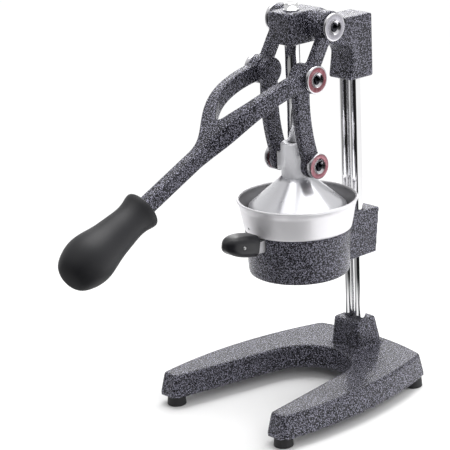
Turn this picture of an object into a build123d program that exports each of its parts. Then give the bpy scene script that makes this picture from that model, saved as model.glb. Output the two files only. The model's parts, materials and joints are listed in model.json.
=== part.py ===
"""Lever citrus press: cast base, twin columns, strainer bowl and a forked lever over a sliding press cone.

Frame: +Z up, +X to the right, -Y towards the lever's grip. The origin is on the floor, at the middle of
the object's bounding box. Every piece is drawn from the press axis, the vertical line that the plunger
slides on.
Rest pose: lever fully down.
"""
import os
from math import acos, atan2, cos, degrees, hypot, radians, sin, sqrt, tan

from build123d import *

os.makedirs("parts", exist_ok=True)

# ---------------------------------------------------------------- driving dimensions, in millimetres
# clearances
running = 0.05          # radial play of a turning or sliding fit
slip = 0.05             # radial play of a fixed pin or column in its hole
side_play = 0.3         # play between two faces that turn past each other

# base: a forked casting, wide at the front, on four feet
foot_height = 12.0
foot_top_d = 18.0
foot_bottom_d = 20.0
base_thickness = 23.0
base_front_y = -114.5   # leg tips, along Y from the press axis
base_back_y = 110.5     # middle of the rear edge
base_half_width = 96.5  # widest place, at the top edge
base_wide_y = -38.0
tip_inner_x = 70.0
tip_outer_x = 90.5
rear_corner_x = 71.0
rear_corner_rise = 9.5  # how far the rear corners stand in from the middle of the rear edge
crotch_radius = 50.5    # round end of the gap between the legs
crotch_y = 1.0
base_flare = 4.9        # sides spread by this much down to the lower edge
base_wall = 7.0
base_roof = 7.0
foot_x = 80.0
front_foot_inset = 8.5
rear_foot_x = 69.0
rear_foot_inset = 17.5

# columns and the block that holds them on the base
column_d = 12.2
column_gap = 1.6
column_y = 79.4
column_top = 381.0
column_sink = 14.0      # height of the columns' lower ends above the base's lower edge
socket_height = 31.0
socket_top = (34.0, 30.0)
socket_foot = (40.0, 38.5)

# bowl holder
bowl_bottom = 137.0
bowl_height = 48.0
bowl_top_radius = 54.5
bowl_draft = 3.0
bowl_wall = 4.0
bowl_floor = 4.5
outlet_radius = 16.0
bracket_width = 34.0
bracket_back = 22.4     # reach of the bracket's upper edge behind the columns' middle
bracket_draft = 5.8

# strainer
sheet = 1.2
strainer_rim_reach = 6.1     # rim, outside the holder's top
strainer_rim_height = 216.0
rim_bead_radius = 1.5
basket_depth = 28.0
basket_floor_inset = 9.5     # basket's floor, inside the holder's top
core_height = 42.0
tang_width = 12.0
strainer_grip_length = 37.5
strainer_grip_width = 27.0
strainer_grip_height = 22.5
strainer_grip_corner = 7.5
strainer_grip_tilt = 11.0
strainer_grip_gap = 11.0     # between the holder's top and the grip
strainer_grip_z = 180.7
strainer_grip_shares = (0, 0.3, 0.55, 0.75, 0.88, 0.96, 0.99)   # sections, as shares of the length
strainer_grip_bluntness = 3.4

# head
head_half_width = 15.8
head_top = 407.5
head_bottom = 375.3
head_front_y = -17.2
head_slope_start_y = 27.5
head_slope_end = 18.9     # from here to the gusset, distances along Y from the columns' middle
rear_block_top = 391.0
rear_block_bottom = 325.5
rear_block_front = 14.9
rear_block_back = 19.1
gusset_back = 10.9
gusset_front_y = 16.0
gusset_low = 359.5
gusset_round = 12.0
shoulder_y = 17.5       # lever's main pivot
shoulder_z = 392.6
shoulder_boss_d = 31.0
shoulder_boss_length = 9.7

# plunger
rod_d = 15.5
rod_top = 415.2
hex_height = 6.2
hex_corner_d = 14.2
bush_wall = 2.0
bush_cap = 3.0          # metal left above the guide bush
hub_top = 274.0
hub_d = 28.0
ear_half_width = 18.0
ear_depth = 20.0
ear_top = 262.5
hip_z = 253.2           # pivot of the lower links on the hub
neck_z = 238.0
cone_slope = 41.2       # degrees below the horizontal
cone_apex_z = 251.4     # where the cone's straight sides would meet
cone_inset = 4.5        # edge of the cone, inside the holder's top
cone_skirt = 7.0
cone_wall = 2.6

# linkage
elbow_y = -11.2         # pivot that joins the lever to the lower links
elbow_z = 345.4
link_thickness = 8.5
link_width = 18.5
link_bow = 5.6
link_top_d = 28.0
link_bottom_d = 26.0
link_round = 1.5
link_neck = 4.0         # hollow rounding where the bar meets its eyes

# lever
eye_d = 31.0
lever_bush_wall = 1.5
yoke_half_width = 39.4
yoke_window_half = 27.7
yoke_crotch_y = -102.0
yoke_outside = ((39.0, -48), (36, -73), (29.5, -92), (20, -107), (10.5, -120))
yoke_inside = ((27.5, -46), (24.5, -68), (18.5, -84), (8, -97.5))
yoke_round = 2.0
arm_points = ((-50, 338.1), (-88, 320.6), (-113, 298.9))
eye_thickness = 11.4
elbow_boss_d = 29.0
elbow_boss_length = 12.6
crank_width = 13.5
arm_height = 18.0
shaft_height = 15.6
shaft_width = 13.6
shaft_start = (-133.0, 284.3)
shaft_slope = 26.3      # degrees below the horizontal
grip_start_y = -202.5
grip_length = 105.5
lip_radius = 19.5
# (share of the length, radius)
grip_profile = ((0.075, 18.3), (0.15, 17.0), (0.3, 18.0), (0.49, 20.8), (0.7, 24.9), (0.85, 22.3),
                (0.95, 16.3))
grip_core_d = 12.0
grip_end_wall = 20.0    # solid rubber past the core's end

# fasteners and small details
bolt_d = 6.0
bolt_head_d = 12.5
bolt_head = 4.0
bolt_washer = 1.2
bolt_recess = 7.0
bolt_grip = 18.0
foot_screw_d = 4.0
foot_screw_head_d = 8.0
foot_screw_head = 2.6
foot_screw_length = 13.0
foot_recess = 5.0
set_screw_d = 6.0
holder_screw_z = 160.0
head_screw_z = 350.0
spout_drop = 5.0
tang_bottom = 171.0
drain_radius = 8.0
drain_rings = (37.5, 42.0)
drain_count = 36
drain_hole = 2.6
core_tip_radius = 6.0
rib_width = 1.8
rib_depth = 3.2
rib_count = 12
band_hole_d = 2.6
band_hole_turn = -16.5  # degrees round from the front
band_hole_rise = 4.0
tang_top = 183.0
tang_plate = 7.0
tang_reach = 29.0
grip_pin_d = 3.2
grip_pin_reach = 21.0
head_edge = 2.2
thread_depth = 17.0
shoulder_thread_d = 10.0
hip_thread_d = 8.0
hip_thread_gap = 1.25    # metal left between the hip screws and the rod
ear_bottom = 244.0
hip_head_height = 5.0
spigot_d = 16.0
spigot_length = 10.0
nut_d = 24.0
nut_height = 6.5
rod_bottom = 243.0

# pivot screws
rim_bevel = 0.8
socket_ring_d = 14.5
socket_ring_depth = 1.0
socket_depth = 4.2
hip_washer_d = 20.0
screw_head_d = 28.0
hip_screw_head_d = 26.0
screw_head_height = 4.0
washer_thickness = 1.5
washer_d = 26.0
shoulder_shank_d = 12.0
elbow_shank_d = 10.0
hip_shank_d = 10.0
socket_flats = 8.0

# ---------------------------------------------------------------- worked-out places
base_top = foot_height + base_thickness
socket_z = base_top + socket_height
bowl_top = bowl_bottom + bowl_height
rear_corner_y = base_back_y - rear_corner_rise
front_foot_y = base_front_y + front_foot_inset
rear_foot_y = base_back_y - rear_foot_inset
column_pitch = column_d + column_gap
column_seat = foot_height + column_sink
bowl_bottom_radius = bowl_top_radius - bowl_draft
bracket_back_top = column_y + bracket_back
bracket_back_bottom = bracket_back_top - bracket_draft
strainer_rim_radius = bowl_top_radius + strainer_rim_reach
basket_floor_radius = bowl_top_radius - basket_floor_inset
strainer_grip_y = -bowl_top_radius - strainer_grip_gap
head_slope_end_y = column_y - head_slope_end
rear_block_front_y = column_y - rear_block_front
rear_block_back_y = column_y + rear_block_back
gusset_back_y = column_y - gusset_back
cone_radius = bowl_top_radius - cone_inset
hip_thread_end = rod_d / 2 + hip_thread_gap

slope = radians(shaft_slope)
grip_points = [(share * grip_length, radius) for share, radius in grip_profile]
grip_core_length = grip_length - grip_end_wall
grip_tip_y = grip_start_y - max(along * cos(slope) + radius * sin(slope) for along, radius in grip_points)
press_y = -(grip_tip_y + base_back_y + base_flare) / 2   # puts the origin at the middle of the box

link_inner = ear_half_width + 0.5
link_outer = link_inner + link_thickness
elbow_boss_inner = link_outer + 0.5
elbow_boss_outer = elbow_boss_inner + elbow_boss_length
boss_outer = head_half_width + shoulder_boss_length
eye_inner = boss_outer + side_play
eye_outer = eye_inner + eye_thickness
crank_inner = elbow_boss_inner + 1.0

floor = Plane((0, press_y, 0))
side = Plane(origin=(0, press_y, 0), x_dir=(0, 1, 0), z_dir=(1, 0, 0))
radial = Plane(origin=(0, press_y, 0), x_dir=(1, 0, 0), z_dir=(0, -1, 0))
press_axis = Axis((0, press_y, 0), (0, 0, 1))


def upright(turn):
    """Upright plane through the press axis, turned from the right-hand side towards the back."""
    turned = radians(turn)
    return Plane(origin=(0, press_y, 0), x_dir=(cos(turned), sin(turned), 0),
                 z_dir=(sin(turned), -cos(turned), 0))


hands = (("left", -1), ("right", 1))
column_places = [(hand * column_pitch / 2, column_y) for _, hand in hands]
shoulder = (shoulder_y, shoulder_z)
elbow = (elbow_y, elbow_z)
hip = (0, hip_z)
grip_start = (grip_start_y, shaft_start[1] - (shaft_start[0] - grip_start_y) * tan(slope))
grip_frame = Plane(origin=(0, press_y + grip_start[0], grip_start[1]), x_dir=(1, 0, 0),
                   z_dir=(0, -cos(slope), -sin(slope)))
grip_side = Plane(origin=grip_frame.origin, x_dir=grip_frame.z_dir, z_dir=(1, 0, 0))


def save(piece, name):
    """Label a finished piece and write its STEP file."""
    piece.part.label = name
    export_step(piece.part, f"parts/{name}.step")


def wall_section(outline, wall):
    """Close an open outline into a section of constant wall, with mitred corners."""
    points = [Vector(*point) for point in outline]
    inner = []
    for place, point in enumerate(points):
        legs = []
        if place > 0:
            legs.append((point - points[place - 1]).normalized())
        if place < len(points) - 1:
            legs.append((points[place + 1] - point).normalized())
        normals = [Vector(-leg.Y, leg.X) for leg in legs]
        middle = (normals[0] + normals[-1]).normalized()
        inner.append(point + middle * (wall / middle.dot(normals[0])))
    return points + inner[::-1]


def beside_curve(curve, near, far, steps=8):
    """Points to the left of a curve, at a distance that changes evenly along it."""
    points = []
    for step in range(steps + 1):
        share = step / steps
        heading = curve % share
        points.append(curve @ share + Vector(-heading.Y, heading.X) * (near + (far - near) * share))
    return points


# ---------------------------------------------------------------- base and feet
def base_outline():
    """Top outline of the base, drawn on the right half and mirrored."""
    reach = hypot(tip_inner_x, base_front_y - crotch_y)
    swing = atan2(base_front_y - crotch_y, tip_inner_x) + acos(crotch_radius / reach)
    touch = (crotch_radius * cos(swing), crotch_y + crotch_radius * sin(swing))
    with BuildLine() as outline:
        rear = RadiusArc((0, base_back_y), (rear_corner_x, rear_corner_y), 260)
        Line(rear @ 1, (rear_corner_x + 3, rear_corner_y - 3))
        outer = ThreePointArc((rear_corner_x + 3, rear_corner_y - 3), (base_half_width, base_wide_y),
                              (tip_outer_x, base_front_y + 3))
        tip = Line(outer @ 1, (tip_outer_x - 3, base_front_y))
        front = Line(tip @ 1, (tip_inner_x + 3, base_front_y))
        nose = Line(front @ 1, (tip_inner_x, base_front_y + 3))
        inner = Line(nose @ 1, touch)
        RadiusArc(inner @ 1, (0, crotch_y + crotch_radius), -crotch_radius)
        mirror(about=Plane.YZ)
    return outline


outline_edges = base_outline().edges()
foot_rows = (("front", foot_x, front_foot_y), ("rear", rear_foot_x, rear_foot_y))
foot_places = [(hand * x, y) for _, hand in hands for _, x, y in foot_rows]

with BuildPart() as base_casting:
    with BuildSketch(floor.offset(base_top)):
        make_face(outline_edges)
    with BuildSketch(floor.offset(foot_height)):
        make_face(outline_edges)
        offset(amount=base_flare, kind=Kind.INTERSECTION)
    loft(ruled=True)
    fillet(base_casting.faces().sort_by(Axis.Z)[-1].edges(), 2.5)
    # hollow underside, with bosses left for the feet and the columns
    with BuildSketch(floor.offset(foot_height)):
        make_face(outline_edges)
        offset(amount=base_flare - base_wall - 2, kind=Kind.INTERSECTION)
        with Locations(*foot_places):
            Circle(foot_top_d / 2, mode=Mode.SUBTRACT)
        with Locations((0, column_y)):
            Rectangle(socket_foot[0], socket_foot[1], mode=Mode.SUBTRACT)
    extrude(amount=base_thickness - base_roof, mode=Mode.SUBTRACT)
    # drafted block that the columns stand in
    with BuildSketch(floor.offset(base_top - 1)):
        with Locations((0, column_y + 1.4)):
            RectangleRounded(socket_foot[0], socket_foot[1], 4)
    with BuildSketch(floor.offset(socket_z)):
        with Locations((0, column_y - 1.0)):
            RectangleRounded(socket_top[0], socket_top[1], 4)
    loft(ruled=True)
    fillet(base_casting.faces().sort_by(Axis.Z)[-1].edges(), 1.5)
    with BuildSketch(floor.offset(column_seat)):
        with Locations(*column_places):
            Circle(column_d / 2 + slip)
    extrude(amount=socket_z, mode=Mode.SUBTRACT)
    with BuildSketch(floor.offset(foot_height)):
        with Locations(*column_places):
            Circle(bolt_d / 2 + 0.3)
    extrude(amount=base_thickness, mode=Mode.SUBTRACT)
    with BuildSketch(floor.offset(foot_height)):
        with Locations(*column_places):
            Circle(bolt_head_d / 2 + 0.4)
    extrude(amount=bolt_recess, mode=Mode.SUBTRACT)
    with BuildSketch(floor.offset(foot_height)):
        with Locations(*foot_places):
            Circle(foot_screw_d / 2)
    extrude(amount=foot_screw_length, mode=Mode.SUBTRACT)
save(base_casting, "base_casting")

for hand_name, hand in hands:
    for row, x, y in foot_rows:
        with BuildPart() as foot:
            with BuildSketch(floor):
                with Locations((hand * x, y)):
                    Circle(foot_bottom_d / 2)
            with BuildSketch(floor.offset(foot_height)):
                with Locations((hand * x, y)):
                    Circle(foot_top_d / 2)
            loft()
            fillet(foot.edges().sort_by(Axis.Z)[0], 1.2)
            with BuildSketch(floor):
                with Locations((hand * x, y)):
                    Circle(foot_screw_head_d / 2 + 0.3)
            extrude(amount=foot_recess, mode=Mode.SUBTRACT)
            with BuildSketch(floor):
                with Locations((hand * x, y)):
                    Circle(foot_screw_d / 2 + 0.1)
            extrude(amount=foot_height, mode=Mode.SUBTRACT)
        save(foot, f"foot_{row}_{hand_name}")

with BuildPart() as foot_screws:
    with BuildSketch(floor.offset(foot_recess - foot_screw_head)):
        with Locations(*foot_places):
            Circle(foot_screw_head_d / 2)
    extrude(amount=foot_screw_head)
    with BuildSketch(floor.offset(foot_recess)):
        with Locations(*foot_places):
            Circle(foot_screw_d / 2)
    extrude(amount=foot_height - foot_recess + foot_screw_length - 1)
save(foot_screws, "foot_screws")

# ---------------------------------------------------------------- columns and their fasteners
for hand_name, hand in hands:
    with BuildPart() as column:
        with BuildSketch(floor.offset(column_seat)):
            with Locations((hand * column_pitch / 2, column_y)):
                Circle(column_d / 2)
        extrude(amount=column_top - column_seat)
        chamfer(column.edges().group_by(Axis.Z)[-1], 1)
        with BuildSketch(floor.offset(column_seat)):
            with Locations((hand * column_pitch / 2, column_y)):
                Circle(bolt_d / 2)
        extrude(amount=bolt_grip + 2, mode=Mode.SUBTRACT)
    save(column, f"column_{hand_name}")

with BuildPart() as column_washers:
    with BuildSketch(floor.offset(foot_height + bolt_recess - bolt_washer)):
        with Locations(*column_places):
            Circle(bolt_head_d / 2)
            Circle(bolt_d / 2 + 0.2, mode=Mode.SUBTRACT)
    extrude(amount=bolt_washer)
save(column_washers, "column_washers")

with BuildPart() as column_bolts:
    with BuildSketch(floor.offset(foot_height + bolt_recess - bolt_washer - bolt_head)):
        with Locations(*column_places):
            RegularPolygon(bolt_head_d / 2 - 0.6, 6)
    extrude(amount=bolt_head)
    with BuildSketch(floor.offset(foot_height + bolt_recess - bolt_washer)):
        with Locations(*column_places):
            Circle(bolt_d / 2)
    extrude(amount=column_seat + bolt_grip - foot_height - bolt_recess + bolt_washer)
save(column_bolts, "column_bolts")

# ---------------------------------------------------------------- bowl holder
with BuildPart() as bowl_holder:
    with BuildSketch(radial):
        with BuildLine():
            Polyline((0, bowl_bottom), (bowl_bottom_radius, bowl_bottom), (bowl_top_radius, bowl_top),
                     (0, bowl_top), close=True)
        make_face()
    revolve(axis=press_axis)
    fillet(bowl_holder.edges().sort_by(Axis.Z)[0], 4.5)
    # arm that clamps the columns
    with BuildSketch(side.offset(-bracket_width / 2)):
        with BuildLine():
            Polyline((20, bowl_bottom), (bracket_back_bottom, bowl_bottom), (bracket_back_top, bowl_top),
                     (20, bowl_top), close=True)
        make_face()
    extrude(amount=bracket_width)
    joins = [edge for edge in bowl_holder.edges()
             if abs(abs(edge.center().X) - bracket_width / 2) < 1
             and bowl_bottom_radius - 10 < edge.center().Y - press_y < bowl_top_radius
             and edge.length > bowl_height / 2]
    fillet(joins, 9)
    fillet(bowl_holder.edges().group_by(Axis.Y)[-1], 2)
    # inside: a floor that falls to the outlet, and a short spout
    with BuildSketch(radial):
        with BuildLine():
            Polyline((0, bowl_bottom + bowl_floor), (outlet_radius + 2, bowl_bottom + bowl_floor),
                     (bowl_bottom_radius - bowl_wall, bowl_bottom + bowl_floor + 5),
                     (bowl_top_radius - bowl_wall, bowl_top), (0, bowl_top), close=True)
        make_face()
    revolve(axis=press_axis, mode=Mode.SUBTRACT)
    with BuildSketch(floor.offset(bowl_bottom - spout_drop)):
        Circle(outlet_radius + 3)
    extrude(amount=spout_drop + 1)
    with BuildSketch(floor.offset(bowl_bottom - spout_drop)):
        Circle(outlet_radius)
    extrude(amount=bowl_floor + spout_drop + 1, mode=Mode.SUBTRACT)
    with BuildSketch(floor.offset(bowl_bottom)):
        with Locations(*column_places):
            Circle(column_d / 2 + slip)
    extrude(amount=bowl_height, mode=Mode.SUBTRACT)
    # notch for the strainer's tang
    with BuildSketch(floor.offset(tang_bottom - 1)):
        with Locations((0, -bowl_top_radius)):
            Rectangle(tang_width + 2, 4 * bowl_wall)
    extrude(amount=bowl_top, mode=Mode.SUBTRACT)
    with BuildSketch(radial.offset(-column_y - column_d / 2)):
        with Locations(*[(x, holder_screw_z) for x, _ in column_places]):
            Circle(set_screw_d / 2)
    extrude(amount=-bracket_back_top, mode=Mode.SUBTRACT)
save(bowl_holder, "bowl_holder")


def set_screws(height, back_y):
    """Pair of grub screws behind the columns, with hexagon sockets at the rear."""
    places = [(x, height) for x, _ in column_places]
    start = column_y + column_d / 2 + slip
    with BuildPart() as screws:
        with BuildSketch(radial.offset(-start)):
            with Locations(*places):
                Circle(set_screw_d / 2)
        extrude(amount=start - back_y + 1)
        with BuildSketch(radial.offset(1 - back_y)):
            with Locations(*places):
                RegularPolygon(set_screw_d / 3.4, 6)
        extrude(amount=4, mode=Mode.SUBTRACT)
    return screws


save(set_screws(holder_screw_z, bracket_back_bottom + 2), "holder_set_screws")
save(set_screws(head_screw_z, rear_block_back_y), "head_set_screws")

# ---------------------------------------------------------------- strainer
band_foot = (bowl_top_radius + 0.8, bowl_top + 2.2)
basket_top_radius = bowl_top_radius - bowl_wall - 0.4
basket_floor_z = bowl_top - basket_depth
with BuildPart() as strainer_cup:
    with BuildSketch(radial):
        with BuildLine():
            Polyline(*wall_section([(drain_radius, basket_floor_z), (basket_floor_radius, basket_floor_z),
                                    (basket_top_radius, bowl_top + 0.05),
                                    (band_foot[0] - 0.6, bowl_top + 0.05), band_foot,
                                    (strainer_rim_radius, strainer_rim_height - rim_bead_radius)],
                                   sheet), close=True)
        make_face()
    revolve(axis=press_axis)
    # rolled rim
    with BuildSketch(radial):
        with Locations((strainer_rim_radius - 0.2, strainer_rim_height - rim_bead_radius)):
            Circle(rim_bead_radius)
    revolve(axis=press_axis)
    # drain holes
    for ring_radius in drain_rings:
        with BuildSketch(floor.offset(basket_floor_z - 1)):
            with PolarLocations(ring_radius, drain_count):
                Circle(drain_hole / 2)
        extrude(amount=sheet + 2, mode=Mode.SUBTRACT)
    # one small hole in the band, beside the handle
    with BuildSketch(upright(band_hole_turn).offset(band_foot[0] - 6)):
        with Locations((0, band_foot[1] + band_hole_rise)):
            Circle(band_hole_d / 2)
    extrude(amount=12, mode=Mode.SUBTRACT)
save(strainer_cup, "strainer_cup")

# ribbed core that the fruit is pressed on
core_floor = basket_floor_z + sheet
core_radius = basket_floor_radius - 14
with BuildPart() as strainer_core:
    with BuildSketch(radial):
        with BuildLine():
            Polyline(*wall_section([(core_tip_radius, core_floor + core_height),
                                    (core_radius - 4, core_floor + 3), (core_radius - 2, core_floor),
                                    (core_radius + 3, core_floor)], sheet), close=True)
        make_face()
    revolve(axis=press_axis)
    with BuildSketch(floor.offset(core_floor + core_height)):
        Circle(core_tip_radius + sheet)
    extrude(amount=sheet)
    # ribs
    with BuildSketch(radial):
        with BuildLine():
            Polyline((core_tip_radius, core_floor + core_height),
                     (core_tip_radius + rib_depth, core_floor + core_height),
                     (core_radius + 1, core_floor + 5), (core_radius - 4, core_floor + 3), close=True)
        make_face()
    rib = extrude(amount=rib_width / 2, both=True, mode=Mode.PRIVATE)
    add([rib.rotate(press_axis, 360 / rib_count * turn) for turn in range(rib_count)])
save(strainer_core, "strainer_core")


# tang, welded to the basket, that reaches out through the holder's notch into the grip
tilt = radians(strainer_grip_tilt)
tang_start = (strainer_grip_y, strainer_grip_z)


def along_grip(reach):
    """Point on the tilted middle line of the strainer's grip."""
    return (strainer_grip_y - reach * cos(tilt), strainer_grip_z + reach * sin(tilt))


def on_grip_face(z):
    """Point at a height on the tilted inner face of the strainer's grip."""
    return (strainer_grip_y + (z - strainer_grip_z) * tan(tilt), z)


def beside(point, rise):
    """Point moved across the tang's tilted length."""
    return (point[0] + rise * sin(tilt), point[1] + rise * cos(tilt))


with BuildPart() as strainer_tang:
    with BuildSketch(side.offset(-tang_width / 2)):
        with BuildLine():
            Polyline((-basket_floor_radius, tang_top), on_grip_face(tang_top),
                     beside(tang_start, tang_plate / 2), beside(along_grip(tang_reach), tang_plate / 2),
                     beside(along_grip(tang_reach), -tang_plate / 2), beside(tang_start, -tang_plate / 2),
                     on_grip_face(tang_bottom), (-basket_floor_radius, tang_bottom), close=True)
        make_face()
    extrude(amount=tang_width)
    # its root follows the basket
    with BuildSketch(radial):
        with BuildLine():
            Polyline((0, basket_floor_z), (basket_floor_radius, basket_floor_z),
                     (basket_top_radius, bowl_top), (0, bowl_top), close=True)
        make_face()
    revolve(axis=press_axis, mode=Mode.SUBTRACT)
    with BuildSketch(side.offset(-tang_width)):
        with Locations(along_grip(grip_pin_reach)):
            Circle(grip_pin_d / 2)
    extrude(amount=2 * tang_width, mode=Mode.SUBTRACT)
save(strainer_tang, "strainer_tang")

grip_root = Plane(origin=(0, press_y + strainer_grip_y, strainer_grip_z), x_dir=(1, 0, 0),
                  z_dir=(0, -cos(tilt), sin(tilt)))
with BuildPart() as strainer_grip:
    for share in strainer_grip_shares:
        taper = sqrt(1 - share ** strainer_grip_bluntness)
        with BuildSketch(grip_root.offset(share * strainer_grip_length)):
            RectangleRounded(strainer_grip_width * taper, strainer_grip_height * taper,
                             strainer_grip_corner * taper)
    loft()
    fillet(strainer_grip.faces().sort_by(Axis.Y)[-1].edges(), 1.5)
    with BuildSketch(grip_root):
        Rectangle(tang_width + 2 * slip, tang_plate + 2 * slip)
    extrude(amount=tang_reach + 1, mode=Mode.SUBTRACT)
    with BuildSketch(side.offset(-strainer_grip_width)):
        with Locations(along_grip(grip_pin_reach)):
            Circle(grip_pin_d / 2)
    extrude(amount=2 * strainer_grip_width, mode=Mode.SUBTRACT)
save(strainer_grip, "strainer_grip")

with BuildPart() as strainer_grip_pin:
    with BuildSketch(side.offset(-strainer_grip_width / 2 - 0.4)):
        with Locations(along_grip(grip_pin_reach)):
            Circle(grip_pin_d / 2)
    extrude(amount=strainer_grip_width + 0.8)
    chamfer(strainer_grip_pin.edges(), 0.4)
save(strainer_grip_pin, "strainer_grip_pin")

# ---------------------------------------------------------------- head
with BuildPart() as head_casting:
    with BuildSketch(side.offset(-head_half_width)):
        with BuildLine():
            Polyline((head_front_y, head_top), (head_slope_start_y, head_top),
                     (head_slope_end_y, rear_block_top), (rear_block_back_y, rear_block_top),
                     (rear_block_back_y, rear_block_bottom), (rear_block_front_y, rear_block_bottom),
                     (gusset_back_y, gusset_low - 10), (gusset_back_y, gusset_low),
                     (gusset_front_y, head_bottom), (head_front_y, head_bottom), close=True)
        make_face()
        fillet(vertices().sort_by_distance((gusset_back_y, gusset_low, 0))[0], gusset_round)
    extrude(amount=2 * head_half_width)
    fillet(head_casting.edges(), head_edge)
    for _, hand in hands:
        with BuildSketch(side.offset(hand * (head_half_width - 1))):
            with Locations((shoulder_y, shoulder_z)):
                Circle(shoulder_boss_d / 2)
        extrude(amount=hand * (shoulder_boss_length + 1))
        chamfer(head_casting.faces().sort_by(Axis.X)[-1 if hand > 0 else 0].edges(), 0.8)
        with BuildSketch(side.offset(hand * boss_outer)):
            with Locations((shoulder_y, shoulder_z)):
                Circle(shoulder_thread_d / 2)
        extrude(amount=-hand * thread_depth, mode=Mode.SUBTRACT)
    with BuildSketch(floor.offset(head_bottom)):
        Circle(rod_d / 2 + running + 0.2)
    extrude(amount=head_top, mode=Mode.SUBTRACT)
    with BuildSketch(floor.offset(head_bottom)):
        Circle(rod_d / 2 + running + bush_wall)
    extrude(amount=head_top - head_bottom - bush_cap, mode=Mode.SUBTRACT)
    with BuildSketch(floor.offset(rear_block_bottom)):
        with Locations(*column_places):
            Circle(column_d / 2 + slip)
    extrude(amount=column_top - rear_block_bottom + 1, mode=Mode.SUBTRACT)
    with BuildSketch(radial.offset(-column_y - column_d / 2)):
        with Locations(*[(x, head_screw_z) for x, _ in column_places]):
            Circle(set_screw_d / 2)
    extrude(amount=-rear_block_back_y, mode=Mode.SUBTRACT)
save(head_casting, "head_casting")

with BuildPart() as guide_bush:
    with BuildSketch(floor.offset(head_bottom)):
        Circle(rod_d / 2 + running + bush_wall)
        Circle(rod_d / 2 + running, mode=Mode.SUBTRACT)
    extrude(amount=head_top - head_bottom - bush_cap)
    chamfer(guide_bush.edges().group_by(Axis.Z)[0].sort_by(SortBy.RADIUS)[-1], 0.6)
save(guide_bush, "guide_bush")


# ---------------------------------------------------------------- pivot screws and their washers
def pivot_screw(name, hand, place, head_face, head_diameter, head_height, cylinders):
    """Screw with a broad disc head facing outwards; each (diameter, end) cylinder runs in from the head."""
    with BuildPart() as screw:
        with BuildSketch(side.offset(hand * head_face)):
            with Locations(place):
                Circle(head_diameter / 2)
        extrude(amount=hand * head_height)
        chamfer(screw.faces().sort_by(Axis.X)[-1 if hand > 0 else 0].edges(), rim_bevel)
        for diameter, end in cylinders:
            with BuildSketch(side.offset(hand * head_face)):
                with Locations(place):
                    Circle(diameter / 2)
            extrude(amount=-hand * (head_face - end))
        # dished ring with a hexagon socket
        with BuildSketch(side.offset(hand * (head_face + head_height))):
            with Locations(place):
                Circle(socket_ring_d / 2)
        extrude(amount=-hand * socket_ring_depth, mode=Mode.SUBTRACT)
        with BuildSketch(side.offset(hand * (head_face + head_height))):
            with Locations(place):
                RegularPolygon(socket_flats / 2, 6, major_radius=False)
        extrude(amount=-hand * socket_depth, mode=Mode.SUBTRACT)
    save(screw, name)


def pivot_washer(name, hand, place, inner_face, diameter, hole):
    """Plain washer between a pivot screw's head and the part it holds."""
    with BuildPart() as washer:
        with BuildSketch(side.offset(hand * inner_face)):
            with Locations(place):
                Circle(diameter / 2)
                Circle(hole / 2, mode=Mode.SUBTRACT)
        extrude(amount=hand * washer_thickness)
    save(washer, name)


shoulder_washer_face = eye_outer + side_play
shoulder_head_face = shoulder_washer_face + washer_thickness
hip_washer_face = link_outer + side_play
hip_head_face = hip_washer_face + washer_thickness
for hand_name, hand in hands:
    pivot_washer(f"shoulder_washer_{hand_name}", hand, shoulder, shoulder_washer_face, washer_d,
                 shoulder_shank_d + 2 * slip)
    pivot_screw(f"shoulder_screw_{hand_name}", hand, shoulder, shoulder_head_face, screw_head_d,
                screw_head_height, ((shoulder_shank_d, boss_outer),
                                    (shoulder_thread_d, boss_outer - thread_depth + 1)))
    pivot_washer(f"elbow_washer_{hand_name}", hand, elbow, elbow_boss_outer, washer_d,
                 elbow_shank_d + 2 * slip)
    pivot_screw(f"elbow_screw_{hand_name}", hand, elbow, elbow_boss_outer + washer_thickness, screw_head_d,
                screw_head_height, ((elbow_shank_d, elbow_boss_inner + 0.1),))
    pivot_washer(f"hip_washer_{hand_name}", hand, hip, hip_washer_face, hip_washer_d,
                 hip_shank_d + 2 * slip)
    pivot_screw(f"hip_screw_{hand_name}", hand, hip, hip_head_face, hip_screw_head_d, hip_head_height,
                ((hip_shank_d, ear_half_width), (hip_thread_d, hip_thread_end)))

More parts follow.
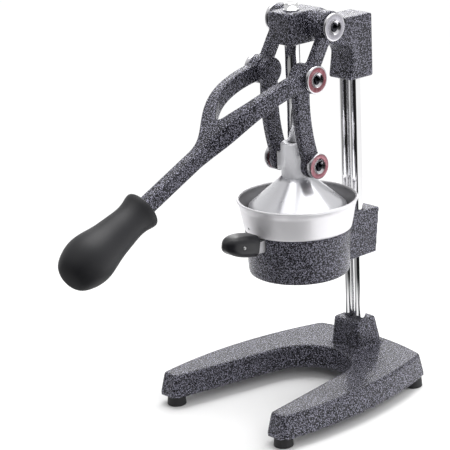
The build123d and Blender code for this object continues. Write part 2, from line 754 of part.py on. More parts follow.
# ---------------------------------------------------------------- lever
with BuildLine(mode=Mode.PRIVATE):
    arm_line = Spline(elbow, *arm_points, shaft_start, tangents=[(-1, -0.08), (-cos(slope), -sin(slope))])
above = beside_curve(arm_line, -arm_height / 2, -shaft_height / 2)
below = beside_curve(arm_line, arm_height / 2, shaft_height / 2)
across = Vector(sin(slope), -cos(slope)) * (shaft_height / 2)
with BuildPart() as lever_yoke:
    # band seen from the side
    with BuildSketch(side.offset(-yoke_half_width - 1)):
        with BuildLine():
            upper = Spline(*above)
            Line(upper @ 1, Vector(*grip_start) - across)
            Line(Vector(*grip_start) - across, Vector(*grip_start) + across)
            lower = Spline(*below)
            Line(Vector(*grip_start) + across, lower @ 1)
            Line(upper @ 0, lower @ 0)
        make_face()
    extrude(amount=2 * yoke_half_width + 2)
    # outline and window seen from above
    with BuildSketch(floor):
        with BuildLine():
            outside = Spline((yoke_half_width, 2), *yoke_outside, (shaft_width / 2, shaft_start[0] - 5),
                             tangents=[(0, -1), (0, -1)])
            Line(outside @ 1, (shaft_width / 2, grip_start_y - 5))
            Line((shaft_width / 2, grip_start_y - 5), (0, grip_start_y - 5))
            inside = Spline((yoke_window_half, 2), *yoke_inside, (0, yoke_crotch_y),
                            tangents=[(0, -1), (-1, 0)])
            Line(outside @ 0, inside @ 0)
            mirror(about=Plane.YZ)
        make_face()
    extrude(amount=shoulder_z, mode=Mode.INTERSECT)
    fillet(lever_yoke.edges(), yoke_round)
    # bars up to the shoulder, with an eye at one end and a boss at the other
    for _, hand in hands:
        with BuildSketch(side.offset(hand * crank_inner)):
            with Locations(((shoulder_y + elbow_y) / 2, (shoulder_z + elbow_z) / 2)):
                Rectangle(hypot(shoulder_y - elbow_y, shoulder_z - elbow_z), crank_width,
                          rotation=degrees(atan2(shoulder_z - elbow_z, shoulder_y - elbow_y)))
        extrude(amount=hand * (eye_outer - crank_inner))
        with BuildSketch(side.offset(hand * eye_inner)):
            with Locations(shoulder):
                Circle(eye_d / 2)
        extrude(amount=hand * eye_thickness)
        with BuildSketch(side.offset(hand * elbow_boss_inner)):
            with Locations(elbow):
                Circle(elbow_boss_d / 2)
        extrude(amount=hand * elbow_boss_length)
        with BuildSketch(side):
            with Locations(shoulder):
                Circle(shoulder_shank_d / 2 + running + lever_bush_wall)
            with Locations(elbow):
                Circle(elbow_shank_d / 2 + slip)
        extrude(amount=hand * (yoke_half_width + 10), mode=Mode.SUBTRACT)
    # round core for the grip
    with BuildSketch(grip_frame):
        Circle(grip_core_d / 2)
    extrude(amount=grip_core_length)
save(lever_yoke, "lever_yoke")

for hand_name, hand in hands:
    with BuildPart() as lever_bush:
        with BuildSketch(side.offset(hand * eye_inner)):
            with Locations(shoulder):
                Circle(shoulder_shank_d / 2 + running + lever_bush_wall)
                Circle(shoulder_shank_d / 2 + running, mode=Mode.SUBTRACT)
        extrude(amount=hand * eye_thickness)
    save(lever_bush, f"lever_bush_{hand_name}")

with BuildPart() as lever_grip:
    with BuildSketch(grip_side):
        with BuildLine():
            lip = Line((0, 0), (0, lip_radius - 1.5))
            corner = ThreePointArc(lip @ 1, (0.44, lip_radius - 0.44), (1.5, lip_radius))
            swell = Spline(corner @ 1, *grip_points, (grip_length, 0), tangents=[(1, 0), (0, -1)])
            Line(swell @ 1, (0, 0))
        make_face()
    revolve(axis=Axis(grip_frame.origin, grip_frame.z_dir))
    with BuildSketch(grip_frame):
        Circle(grip_core_d / 2 + slip)
    extrude(amount=grip_core_length + 1, mode=Mode.SUBTRACT)
save(lever_grip, "lever_grip")

# ---------------------------------------------------------------- links between the lever and the plunger
with BuildLine(mode=Mode.PRIVATE):
    half_way = ((elbow_y + hip[0]) / 2, (elbow_z + hip_z) / 2)
    reach = hypot(elbow_y, elbow_z - hip_z)
    link_line = ThreePointArc(elbow, (half_way[0] - link_bow * (elbow_z - hip_z) / reach,
                                      half_way[1] + link_bow * elbow_y / reach), hip)
for hand_name, hand in hands:
    with BuildPart() as link:
        with BuildSketch(side.offset(hand * link_inner)) as link_face:
            with BuildLine():
                front = ThreePointArc(*beside_curve(link_line, link_width / 2, link_width / 2, 2))
                back = ThreePointArc(*beside_curve(link_line, -link_width / 2, -link_width / 2, 2))
                Line(front @ 0, back @ 0)
                Line(front @ 1, back @ 1)
            make_face()
            with Locations(elbow):
                Circle(link_top_d / 2)
            with Locations(hip):
                Circle(link_bottom_d / 2)
            fillet(link_face.vertices(), link_neck)
        extrude(amount=hand * link_thickness)
        fillet(link.faces().filter_by(Axis.X).edges(), link_round)
        with BuildSketch(side):
            with Locations(hip):
                Circle(hip_shank_d / 2 + running)
        extrude(amount=hand * 2 * link_outer, mode=Mode.SUBTRACT)
    save(link, f"link_{hand_name}")

# ---------------------------------------------------------------- plunger
with BuildPart() as plunger_rod:
    with BuildSketch(floor.offset(rod_bottom)):
        Circle(rod_d / 2)
    extrude(amount=rod_top - hex_height - rod_bottom)
    chamfer(plunger_rod.edges().group_by(Axis.Z)[-1], 0.5)
    with BuildSketch(floor.offset(rod_top - hex_height)):
        RegularPolygon(hex_corner_d / 2, 6)
    extrude(amount=hex_height)
    with BuildSketch(radial):
        with BuildLine():
            Polyline((hex_corner_d / 2 - 1.6, rod_top), (hex_corner_d / 2 + 0.4, rod_top),
                     (hex_corner_d / 2 + 0.4, rod_top - 1.2), close=True)
        make_face()
    revolve(axis=press_axis, mode=Mode.SUBTRACT)
save(plunger_rod, "plunger_rod")

with BuildPart() as press_hub:
    with BuildSketch(floor.offset(neck_z)):
        RegularPolygon(hub_d / 2, 8, major_radius=False)
    extrude(amount=hub_top - neck_z)
    chamfer(press_hub.edges().group_by(Axis.Z)[-1], 1.5)
    with BuildSketch(floor.offset(ear_bottom)):
        Rectangle(2 * ear_half_width, ear_depth)
    extrude(amount=ear_top - ear_bottom)
    for end in (0, -1):
        chamfer(press_hub.faces().sort_by(Axis.X)[end].edges(), 0.8)
    with BuildSketch(floor.offset(neck_z)):
        Circle(spigot_d / 2)
    extrude(amount=-spigot_length)
    with BuildSketch(floor.offset(rod_bottom)):
        Circle(rod_d / 2 + slip)
    extrude(amount=hub_top, mode=Mode.SUBTRACT)
    for _, hand in hands:
        with BuildSketch(side.offset(hand * ear_half_width)):
            with Locations(hip):
                Circle(hip_thread_d / 2)
        extrude(amount=hand * (hip_thread_end - 0.5 - ear_half_width), mode=Mode.SUBTRACT)
save(press_hub, "press_hub")

with BuildPart() as press_cone:
    neck_radius = (cone_apex_z - neck_z) / tan(radians(cone_slope))
    edge_z = cone_apex_z - cone_radius * tan(radians(cone_slope))
    with BuildSketch(radial):
        with BuildLine():
            Polyline(*wall_section([(cone_radius + 1, edge_z - cone_skirt), (cone_radius, edge_z),
                                    (neck_radius, neck_z), (spigot_d / 2 + slip, neck_z)], cone_wall),
                     close=True)
        make_face()
    revolve(axis=press_axis)
save(press_cone, "press_cone")

with BuildPart() as cone_nut:
    with BuildSketch(floor.offset(neck_z - cone_wall)):
        RegularPolygon(nut_d / 2, 6)
        Circle(spigot_d / 2 + slip, mode=Mode.SUBTRACT)
    extrude(amount=-nut_height)
save(cone_nut, "cone_nut")
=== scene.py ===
# %% [markdown]
# # A lever citrus press
#
# The press is cast iron under hammered enamel, with chromed columns, a spun aluminium press cone and a
# steel strainer. Its shape and its joints come from the imported CAD model, which this script loads and never
# moves. Blender's share is the surface: softened castings, smooth turned metal, and a finish for every piece.
#
# Everything below is in metres. Z is up, the lever's grip points to -Y, and each piece stays where CAD put
# it.

# %% Load the frame
import json
import math

import bmesh
import bpy
from mathutils import Matrix, Vector


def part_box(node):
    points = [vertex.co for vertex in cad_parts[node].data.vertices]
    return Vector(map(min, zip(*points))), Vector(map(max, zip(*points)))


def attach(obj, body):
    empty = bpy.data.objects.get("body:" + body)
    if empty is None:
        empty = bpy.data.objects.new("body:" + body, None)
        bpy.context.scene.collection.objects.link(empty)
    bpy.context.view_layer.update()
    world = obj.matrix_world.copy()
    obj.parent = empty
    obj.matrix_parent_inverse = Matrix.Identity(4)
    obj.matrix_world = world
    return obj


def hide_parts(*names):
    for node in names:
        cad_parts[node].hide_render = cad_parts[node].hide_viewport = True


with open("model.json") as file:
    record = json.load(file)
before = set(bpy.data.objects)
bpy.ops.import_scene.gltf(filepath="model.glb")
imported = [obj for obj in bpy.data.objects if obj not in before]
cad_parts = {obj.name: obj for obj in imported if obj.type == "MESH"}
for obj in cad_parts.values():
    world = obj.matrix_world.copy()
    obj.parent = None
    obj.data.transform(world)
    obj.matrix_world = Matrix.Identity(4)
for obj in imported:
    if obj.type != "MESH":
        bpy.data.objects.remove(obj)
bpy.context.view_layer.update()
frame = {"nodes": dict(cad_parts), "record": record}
nodes = frame["nodes"]
record = frame["record"]
body_of_node = {node: body for body, group in record["behaviour"]["bodies"].items() for node in group}
slot_of_node = {part["node"]: part["material_slot"] for part in record["subparts"]}

# %% [markdown]
# ## Places that everything else is measured from
#
# The plunger slides on one upright line, the press axis. The three pivots of the linkage are the middles of
# their washers. Reading them from the frame keeps the script right if a size changes in CAD.

# %% Press axis and pivots


def middle(node):
    """Middle of a node's box."""
    low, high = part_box(node)
    return (low + high) / 2


press = middle("plunger_rod")
shoulder = middle("shoulder_washer_right")
elbow = middle("elbow_washer_right")
hip = middle("hip_washer_right")
print("press axis at y =", round(press.y, 4))
print("pivot heights:", [round(pivot.z, 4) for pivot in (shoulder, elbow, hip)])

# %% [markdown]
# ## Shader arithmetic
#
# A procedural finish is mostly arithmetic on textures. Math nodes placed one by one are hard to read, so a
# small class wraps a socket and lets Python's operators add them. Every other node is made by one method,
# which sets the node's own settings first and then its sockets, with either a value or a link.

# %% A socket that does sums, and a tree that makes nodes


class Wire:
    """An output socket that takes part in Python expressions."""

    def __init__(self, tree, socket):
        self.tree = tree
        self.socket = socket

    def sum_node(self, operation, first, second):
        return self.tree.node("ShaderNodeMath", {"operation": operation}, {0: first, 1: second})

    def __add__(self, other):
        return self.sum_node("ADD", self, other)

    def __sub__(self, other):
        return self.sum_node("SUBTRACT", self, other)

    def __rsub__(self, other):
        return self.sum_node("SUBTRACT", other, self)

    def __mul__(self, other):
        return self.sum_node("MULTIPLY", self, other)

    __radd__ = __add__

    def also(self, output):
        """Another output of the same node."""
        return Wire(self.tree, self.socket.node.outputs[output])

    def step(self, start, end):
        """0 below start, 1 above end, and a smooth slope between."""
        return self.tree.node("ShaderNodeMapRange", {"interpolation_type": "SMOOTHSTEP"},
                              {"Value": self, "From Min": start, "From Max": end})


class Tree:
    """A node tree under construction."""

    def __init__(self, tree):
        self.tree = tree

    def node(self, kind, settings=None, sockets=None, output=0):
        """One node: its settings, then the values or links of its sockets; returns one of its outputs."""
        made = self.tree.nodes.new(kind)
        for key, value in (settings or {}).items():
            setattr(made, key, value)
        for key, value in (sockets or {}).items():
            self.feed(made.inputs[key], value)
        return Wire(self, made.outputs[output]) if made.outputs else None

    def feed(self, socket, value):
        """Link a wire to a socket, or set the socket's own value."""
        if isinstance(value, Wire):
            self.tree.links.new(value.socket, socket)
        else:
            socket.default_value = value

    def place(self, centre=(0, 0, 0), scale=(1, 1, 1)):
        """Object coordinates, centred on a point and scaled."""
        coordinates = self.node("ShaderNodeTexCoord", output="Object")
        centred = self.node("ShaderNodeVectorMath", {"operation": "SUBTRACT"}, {0: coordinates, 1: centre})
        return self.node("ShaderNodeMapping", {}, {"Vector": centred, "Scale": scale})

    def noise(self, place, scale, detail=2.0, rough=0.5):
        """Fractal noise between 0 and 1."""
        return self.node("ShaderNodeTexNoise", {}, {"Vector": place, "Scale": scale, "Detail": detail,
                                                    "Roughness": rough})

    def cells(self, place, scale):
        """Voronoi distance, small at a cell's middle."""
        return self.node("ShaderNodeTexVoronoi", {}, {"Vector": place, "Scale": scale})

    def blend(self, factor, first, second):
        """Mix of two colours."""
        return self.node("ShaderNodeMix", {"data_type": "RGBA"},
                         {"Factor": factor, 6: first, 7: second}, output=2)

    def bump(self, height, strength, depth):
        """Normal from a height map; depth is in metres."""
        return self.node("ShaderNodeBump", {}, {"Height": height, "Strength": strength, "Distance": depth})


class Finish(Tree):
    """A material with one Principled shader."""

    def __init__(self, name, **constants):
        self.material = bpy.data.materials.new(name)
        self.material.use_nodes = True
        super().__init__(self.material.node_tree)
        self.shader = self.tree.nodes["Principled BSDF"]
        self.set(**constants)

    def set(self, **values):
        """Set or link the shader's sockets, named with underscores."""
        for name, value in values.items():
            self.feed(self.shader.inputs[name.replace("_", " ")], value)


def rgb(red, green, blue):
    """Opaque colour."""
    return (red, green, blue, 1.0)


print("shader tools ready")

# %% [markdown]
# ## Hammered enamel
#
# Hammered enamel is a silvery flake paint that crawls as it dries. It draws into small shiny islands with
# black pits between them, under a thin glossy skin. Cell distance gives the islands, noise breaks up their
# outline, and the same height drives a bump, so the highlights sparkle as they do on the real paint. Raised
# edges are lighter, partly worn paint and partly a painted highlight where they catch the light; pointiness
# finds them on the dense mesh of each casting.

# %% The enamel on every casting


def hammered_enamel():
    """Silver and black crawled enamel."""
    islands_per_metre = 600
    breaks_per_metre = 820
    strays_per_metre = 560
    wander = 0.0015        # how far an island's outline strays
    pit_depth = 0.00060

    paint = Finish("hammered_enamel", Coat_Weight=0.08, Coat_Roughness=0.08, Coat_IOR=1.5,
                   Specular_IOR_Level=0.3)
    place = paint.place()
    unrest = paint.node("ShaderNodeTexNoise", {}, {"Vector": place, "Scale": strays_per_metre},
                        output="Color")
    shifted = paint.node("ShaderNodeVectorMath", {"operation": "MULTIPLY_ADD"},
                         {0: unrest, 1: (wander, wander, wander), 2: place})
    islands = 1.0 - paint.cells(shifted, islands_per_metre).step(0.22, 0.60)
    broken = paint.noise(place, breaks_per_metre, 2, 0.6).step(0.42, 0.58)
    flake = islands * 0.65 + broken * 0.50
    cover = flake.step(0.42, 0.66)
    drift = paint.noise(place, 22, 2)
    silver = paint.blend(drift, rgb(0.250, 0.245, 0.310), rgb(0.340, 0.335, 0.410))
    colour = paint.blend(cover, rgb(0.003, 0.003, 0.006), silver)
    # lighter edges: partly wear, partly painted highlight
    wear_and_edge_highlight = paint.node("ShaderNodeNewGeometry", output="Pointiness").step(0.54, 0.60)
    colour = paint.blend(wear_and_edge_highlight * 0.6, colour, rgb(0.50, 0.50, 0.57))
    paint.set(Base_Color=colour, Metallic=cover * 0.92, Roughness=0.20 + cover * 0.03,
              Normal=paint.bump(flake, 1.0, pit_depth))
    return paint.material


enamel = hammered_enamel()
print("enamel:", len(enamel.node_tree.nodes), "nodes")

# %% [markdown]
# ## Chrome, zinc and bronze
#
# Chromed rods are almost a mirror. What the eye reads is faint polishing marks that run along them, so the
# roughness varies a little along the rod and around it. Zinc is duller and mottled; bearing bronze is warm.

# %% Plated and plain metals


def chromed_rod():
    """Bright plate with faint lengthwise streaks."""
    plate = Finish("chromed_rod", Metallic=1.0)
    streaks = plate.noise(plate.place(scale=(1, 1, 0.04)), 900, 2)
    haze = plate.noise(plate.place(), 30, 3)
    plate.set(Base_Color=plate.blend(haze, rgb(0.80, 0.80, 0.81), rgb(0.90, 0.90, 0.91)),
              Roughness=0.035 + haze * 0.02 + streaks * 0.02, Normal=plate.bump(streaks, 0.05, 0.00004))
    return plate.material


def plain_metal(name, low, high, roughness, grain):
    """Metal with a slightly mottled colour and a fine grain."""
    metal = Finish(name, Metallic=1.0)
    mottle = metal.noise(metal.place(), 160, 3)
    fine = metal.noise(metal.place(), grain, 2)
    metal.set(Base_Color=metal.blend(mottle, rgb(*low), rgb(*high)), Roughness=roughness + mottle * 0.12,
              Normal=metal.bump(fine, 0.12, 0.00005))
    return metal.material


chrome = chromed_rod()
zinc = plain_metal("zinc_plate", (0.40, 0.40, 0.41), (0.58, 0.58, 0.57), 0.28, 1800)
bronze = plain_metal("bearing_bronze", (0.55, 0.36, 0.18), (0.72, 0.50, 0.27), 0.30, 1500)
print("plated and plain metals ready")

# %% [markdown]
# ## Spun aluminium and satin steel
#
# A cone spun on a lathe has fine grooves running round it. They stretch each highlight along the slope, so
# the cone shows bright rays from neck to edge. Anisotropy does that: the shader's own tangent runs round the
# upright axis, and a quarter turn makes it spread the light up and down the slope. Fine rings in the
# roughness and bump add the grooves themselves. Faces that look towards the axis can take a darker colour,
# painted shade for the strainer's inside. The cast hub is pale and hardly metallic to the eye.

# %% Turned surfaces


def turned_metal(name, low, high, roughness, spread, ring_height, shine, inside_shade=1.0):
    """Metal with lathe rings about the press axis; faces that look at the axis can take painted shade."""
    metal = Finish(name, Metallic=shine, Anisotropic=spread, Anisotropic_Rotation=0.25)
    place = metal.place(centre=tuple(press), scale=(1, 1, 0))
    outward = metal.node("ShaderNodeVectorMath", {"operation": "DOT_PRODUCT"},
                         {0: place, 1: metal.node("ShaderNodeNewGeometry", output="Normal")}, output="Value")
    rings = metal.noise(metal.place(scale=(0.02, 0.02, 1)), 2400, 3, 0.7)
    cloud = metal.noise(metal.place(), 26, 3)
    colour = metal.blend(cloud, rgb(*low), rgb(*high))
    shaded = metal.blend(cloud, rgb(*(part * inside_shade for part in low)), rgb(*(part * inside_shade for part in high)))
    # painted shade: faces that look towards the axis take the darker copy of the colour
    metal.set(Base_Color=metal.blend(outward.step(-0.004, 0.004), shaded, colour),
              Roughness=roughness + rings * 0.10 + cloud * 0.05,
              Normal=metal.bump(rings, ring_height, 0.00005))
    return metal.material


spun = turned_metal("spun_aluminium", (0.72, 0.72, 0.75), (0.82, 0.82, 0.85), 0.22, 0.75, 0.25, 0.9)
# the strainer's inside takes painted shade, 0.42 of its band's colour
satin = turned_metal("satin_steel", (0.78, 0.77, 0.80), (0.86, 0.85, 0.87), 0.36, 0.40, 0.12, 0.6,
                     inside_shade=0.42)
hub_metal = turned_metal("hub_aluminium", (0.90, 0.90, 0.94), (0.95, 0.95, 0.98), 0.40, 0.0, 0.10, 0.25)
print("turned surfaces ready")

# %% [markdown]
# ## Rubber, plastic and the tinted screws
#
# The big grip is moulded rubber, dull with a soft sheen and a fine leathery grain. The strainer's handle is a
# harder, shinier plastic. The elbow and hip screws have a dull red ring between their bright rim and socket,
# so their finish mixes metals by distance from the pivot's middle, with mottling in the red and painted
# shade, a dark well, in the socket. The shoulder screws have the same face with a grey ring.

# %% Dark and tinted finishes


def dark_moulding(name, colour, sheen_colour, roughness, grain, depth):
    """Black rubber or plastic with a fine moulded grain."""
    black = Finish(name, Specular_IOR_Level=0.5)
    place = black.place()
    leather = black.cells(place, grain)
    wipe = black.noise(place, 18, 3)
    black.set(Base_Color=black.blend(wipe, rgb(*colour), rgb(*sheen_colour)),
              Roughness=roughness + wipe * 0.12, Normal=black.bump(leather, 0.25, depth))
    return black.material


def tinted_screw(name, pivot, red):
    """Screw head with a coloured ring between a bright rim and a bright socket edge, and painted shade in the
    socket.
    """
    socket_shade_edge = (0.0046, 0.0052)      # each edge starts and ends at these distances from the pivot
    ring_inner = (0.0072, 0.0078)
    ring_outer = (0.0121, 0.0127)

    metal = Finish(name, Metallic=1.0)
    spot = metal.place(centre=(0, pivot.y, pivot.z), scale=(0, 1, 1))
    radius = metal.node("ShaderNodeVectorMath", {"operation": "LENGTH"}, {0: spot}, output="Value")
    ring = radius.step(*ring_inner) * (1.0 - radius.step(*ring_outer))
    patches = metal.noise(metal.place(), 260, 3, 0.7).step(0.42, 0.68)
    tint = metal.blend(patches, rgb(*red), rgb(*(0.12 + 0.88 * part for part in red)))
    # painted shade: nearly black inside the socket, within about 5 mm of the pivot
    socket_shade = 1.0 - radius.step(*socket_shade_edge)
    face = metal.blend(socket_shade, metal.blend(ring, rgb(0.72, 0.71, 0.74), tint), rgb(0.05, 0.05, 0.06))
    metal.set(Base_Color=face, Roughness=0.16 + ring * 0.20,
              Normal=metal.bump(metal.noise(metal.place(), 900, 2), 0.10, 0.00006))
    return metal.material


grip_rubber = dark_moulding("grip_rubber", (0.006, 0.006, 0.008), (0.013, 0.013, 0.016), 0.46, 1100, 0.00006)
handle_plastic = dark_moulding("handle_plastic", (0.006, 0.006, 0.008), (0.012, 0.012, 0.015), 0.24, 1600,
                               0.00003)
foot_rubber = dark_moulding("foot_rubber", (0.008, 0.008, 0.009), (0.016, 0.016, 0.018), 0.55, 900, 0.00005)
plain_screw = tinted_screw("shoulder_screw_face", shoulder, (0.46, 0.45, 0.50))
elbow_red = tinted_screw("elbow_screw_face", elbow, (0.27, 0.10, 0.12))
hip_red = tinted_screw("hip_screw_face", hip, (0.36, 0.15, 0.18))
print("dark and tinted finishes ready")

# %% [markdown]
# ## Making the pieces
#
# A CAD mesh is exact, but its triangles are loose and flat shaded. Each piece starts from a copy with its
# doubles merged, and the CAD node steps back behind it. Machined parts only need smooth shading with their
# sharp edges kept. Castings never have edges that crisp: a voxel remesh turns the copy into an even skin, and
# a little smoothing then rounds each edge and hollow as sand casting and thick paint do.

# %% Copies of CAD nodes
sharp_from = math.radians(32)    # edges that turn more than this stay sharp on machined pieces
smoothing_passes = 2


def install(piece, node, finish):
    """Put a finished piece in the place of its CAD node."""
    bpy.context.scene.collection.objects.link(piece)
    piece.data.materials.clear()
    piece.data.materials.append(finish)
    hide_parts(node)
    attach(piece, body_of_node[node])


def merged_copy(node):
    """A copy of a CAD node's mesh with its vertices joined."""
    shape = bmesh.new()
    shape.from_mesh(nodes[node].data)
    bmesh.ops.remove_doubles(shape, verts=shape.verts, dist=0.000002)
    mesh = bpy.data.meshes.new(node + "_skin")
    shape.to_mesh(mesh)
    shape.free()
    return mesh


def machined(node, finish):
    """Machined or moulded piece: smooth faces, sharp edges kept."""
    mesh = merged_copy(node)
    mesh.shade_smooth()
    mesh.set_sharp_from_angle(angle=sharp_from)
    install(bpy.data.objects.new(node + "_piece", mesh), node, finish)


def cast(node, finish, voxel):
    """Casting: an even skin over the CAD shape, softened at its edges."""
    source = bpy.data.objects.new(node + "_cast", merged_copy(node))
    bpy.context.scene.collection.objects.link(source)
    remesh = source.modifiers.new("skin", "REMESH")
    remesh.mode = "VOXEL"
    remesh.voxel_size = voxel
    soften = source.modifiers.new("soften", "SMOOTH")
    soften.factor = 0.5
    soften.iterations = smoothing_passes
    bpy.context.view_layer.update()
    mesh = bpy.data.meshes.new_from_object(source.evaluated_get(bpy.context.evaluated_depsgraph_get()))
    bpy.data.objects.remove(source)
    mesh.shade_smooth()
    install(bpy.data.objects.new(node + "_piece", mesh), node, finish)
    print(node, len(mesh.polygons), "faces")


# %% [markdown]
# The six castings carry the enamel. The slimmer the casting, the smaller the voxel, so that thin links and
# the head's edges keep their shape while the mesh of the large base stays light.

# %% Castings under hammered enamel
for node, voxel in (("base_casting", 0.0015), ("bowl_holder", 0.0014), ("head_casting", 0.0010),
                    ("lever_yoke", 0.0010), ("link_left", 0.0009), ("link_right", 0.0009)):
    cast(node, enamel, voxel)

# %% [markdown]
# Everything else is machined, turned, plated or moulded, and keeps its crisp edges. Its finish follows the
# material slot of its CAD node. Only the hip screws and the hub differ: the rings on the hip screws are
# measured from the hip, and the hub is a cast piece in the cone's slot.

# %% Machined, turned and moulded pieces
finish_of = {
    "chromed_rod": chrome,
    "spun_aluminium": spun,
    "strainer_steel": satin,
    "washer_chrome": chrome,
    "bronze_bush": bronze,
    "grip_rubber": grip_rubber,
    "handle_plastic": handle_plastic,
    "foot_rubber": foot_rubber,
    "plain_steel": zinc,
    "pivot_steel": plain_screw,
    "tinted_steel": elbow_red,
}
special = {"hip_screw_left": hip_red, "hip_screw_right": hip_red, "press_hub": hub_metal}
for node in sorted(nodes):
    if slot_of_node[node] == "hammer_paint":
        continue
    machined(node, special.get(node, finish_of[slot_of_node[node]]))
print("every node has its piece")

# %% [markdown]
# ## Studio
#
# A plain pale floor, a bright surround and a few softboxes. Chrome and enamel show whatever stands around
# them, so the surround is not even: it is dark behind the camera and on the left, and plain white to the
# camera's own rays. The floor is pale paper that glows white further out, so it meets the surround without a
# horizon. Over it lies a dark cloth on the camera's side that only reflections see. It gives the columns
# their dark bands, and the camera still sees the paper.

# %% Floor, surround and lights
camera_turn = math.radians(48.25)   # from the grip's side towards the right
disc_radius = 8.0
paper_fade = (0.35, 0.90)           # distances from the press axis where the paper starts and ends fading
cloth_start = (0.14, 0.26)          # and where the dark cloth sets in
cloth_height = 0.002                # just above the paper


def dark_sector(east, north, camera_turn):
    """1 towards the camera, less to its left, 0 elsewhere, from the two parts of a level direction."""
    forward = east * math.sin(camera_turn) - north * math.cos(camera_turn)
    right = east * math.cos(camera_turn) + north * math.sin(camera_turn)
    bearing = right.sum_node("ARCTAN2", right, forward)
    from_left = bearing.step(-2.2, -1.8) * 0.75 + bearing.step(-0.85, -0.6) * 0.25
    return from_left * (1.0 - bearing.step(0.36, 0.52))


def studio_surround(camera_turn):
    """Bright world, dark behind the camera and to its left, and white to the camera's own rays."""
    light_share = 0.74      # strength for every other ray
    world = bpy.data.worlds.new("studio")
    world.use_nodes = True
    bpy.context.scene.world = world
    tree = Tree(world.node_tree)
    tree.tree.nodes.clear()
    direction = tree.node("ShaderNodeTexCoord", output="Generated")
    east = tree.node("ShaderNodeSeparateXYZ", sockets={0: direction})
    north = east.also("Y")
    height = east.also("Z")
    low = 1.0 - height.step(0.30, 0.80)
    light = 1.0 - dark_sector(east, north, camera_turn) * low * 0.95
    seen = tree.node("ShaderNodeLightPath", output="Is Camera Ray")
    strength = seen + (1.0 - seen) * light * light_share
    background = tree.node("ShaderNodeBackground",
                           sockets={"Color": rgb(1.0, 1.0, 1.0), "Strength": strength})
    tree.node("ShaderNodeOutputWorld", sockets={"Surface": background})


def softbox(name, place, aim, size, power, mirrored=True):
    """Rectangular area light that faces a point; one that isn't mirrored never shows in shiny surfaces."""
    light = bpy.data.lights.new(name, "AREA")
    light.shape = "RECTANGLE"
    light.size, light.size_y = size
    light.energy = power
    lamp = bpy.data.objects.new(name, light)
    lamp.visible_glossy = mirrored
    lamp.location = place
    lamp.rotation_euler = (Vector(place) - Vector(aim)).to_track_quat("Z", "Y").to_euler()
    bpy.context.scene.collection.objects.link(lamp)


def disc(name, height, paint):
    """Large level disc with one material, as part of the set."""
    shape = bmesh.new()
    bmesh.ops.create_circle(shape, cap_ends=True, radius=disc_radius, segments=96,
                            matrix=Matrix.Translation((0, 0, height)))
    mesh = bpy.data.meshes.new(name)
    shape.to_mesh(mesh)
    shape.free()
    mesh.materials.append(paint.material)
    piece = bpy.data.objects.new(name, mesh)
    bpy.context.scene.collection.objects.link(piece)
    return piece


def reach_of(paint):
    """Level place about the press axis, and the distance from it."""
    spot = paint.place(centre=tuple(press), scale=(1, 1, 0))
    return spot, paint.node("ShaderNodeVectorMath", {"operation": "LENGTH"}, {0: spot}, output="Value")


paper = Finish("floor_paper", Roughness=0.9, Specular_IOR_Level=0.1, Emission_Strength=1.0)
far = reach_of(paper)[1].step(*paper_fade)
paper.set(Base_Color=paper.blend(far, rgb(0.93, 0.93, 0.93), rgb(0.01, 0.01, 0.01)),
          Emission_Color=paper.blend(far, rgb(0.0, 0.0, 0.0), rgb(1.0, 1.0, 1.0)))
disc("floor", 0.0, paper)

cloth = Finish("dark_cloth", Base_Color=rgb(0.01, 0.01, 0.01), Roughness=1.0, Specular_IOR_Level=0.0)
spot, reach = reach_of(cloth)
east = cloth.node("ShaderNodeSeparateXYZ", sockets={0: spot})
cloth.set(Alpha=dark_sector(east, east.also("Y"), camera_turn) * reach.step(*cloth_start))
reflected = disc("dark_cloth", cloth_height, cloth)
reflected.visible_camera = False
reflected.visible_diffuse = False
reflected.visible_shadow = False

# %% [markdown]
# ## Camera
#
# A long lens from the right front, a little above the bowl, as in a catalogue. The distance and the focal
# length set the perspective; the target sits left of the press axis because the lever reaches far out.

# %% Camera
camera_rise = math.radians(17.37)
camera_roll = math.radians(-2.48)
camera_distance = 2.046
aim_height = 0.1888
aim_left = 0.0744        # of the press axis
eye_right = 0.0057       # of the line through the aim
focal_length = 160.8

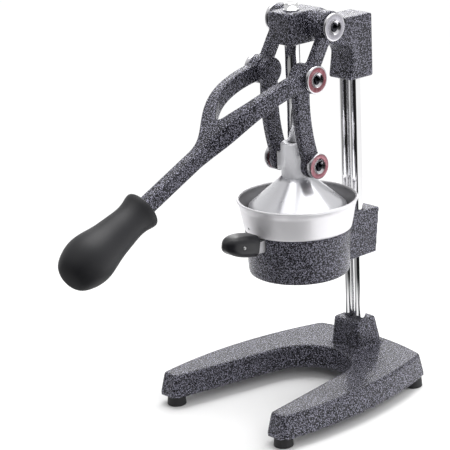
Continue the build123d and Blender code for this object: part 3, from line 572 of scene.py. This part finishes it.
right = Vector((math.cos(camera_turn), math.sin(camera_turn), 0))
towards_camera = Vector((math.sin(camera_turn) * math.cos(camera_rise),
                         -math.cos(camera_turn) * math.cos(camera_rise), math.sin(camera_rise)))
level_up = towards_camera.cross(right)
aim = Vector((press.x, press.y, aim_height)) - right * aim_left
eye = aim + right * eye_right + towards_camera * camera_distance
back = (eye - aim).normalized()
side = level_up.cross(back).normalized()
up = back.cross(side)
rolled_side = side * math.cos(camera_roll) + up * math.sin(camera_roll)
rolled_up = up * math.cos(camera_roll) - side * math.sin(camera_roll)

lens = bpy.data.cameras.new("catalogue_lens")
lens.lens = focal_length
lens.sensor_width = 36.0
lens.clip_end = 30.0
camera = bpy.data.objects.new("catalogue_camera", lens)
camera.matrix_world = Matrix((
    (rolled_side.x, rolled_up.x, back.x, eye.x),
    (rolled_side.y, rolled_up.y, back.y, eye.y),
    (rolled_side.z, rolled_up.z, back.z, eye.z),
    (0, 0, 0, 1)))
bpy.context.scene.collection.objects.link(camera)
bpy.context.scene.camera = camera
print("camera at", [round(part, 3) for part in eye])

# %% [markdown]
# ## Lights
#
# One large softbox hangs over the press and does most of the work. The bank on the right and the fill in
# front lift the dark sides but never show in shiny surfaces, because that would turn the chrome white. A
# strip high behind draws the edges.

# %% Light the set
bowl = middle("bowl_holder")
studio_surround(camera_turn)
softbox("overhead", place=(bowl.x - 0.1, bowl.y + 0.25, 1.5), aim=(0, 0, 0.2), size=(1.3, 1.3), power=17)
softbox("right_bank", place=bowl + right * 1.3 + Vector((0, 0, 0.5)), aim=bowl, size=(0.9, 1.2), power=9,
        mirrored=False)
softbox("front_fill", place=bowl + towards_camera * 1.6 + right * 0.4 + Vector((0, 0, 0.3)), aim=bowl,
        size=(0.6, 0.8), power=6, mirrored=False)
softbox("back_rim", place=bowl - towards_camera * 1.6 + Vector((0, 0, 1.05)), aim=bowl, size=(0.9, 0.35),
        power=3.5)
bpy.context.scene.view_settings.view_transform = "Standard"
print("lights:", [light.name for light in bpy.data.lights])
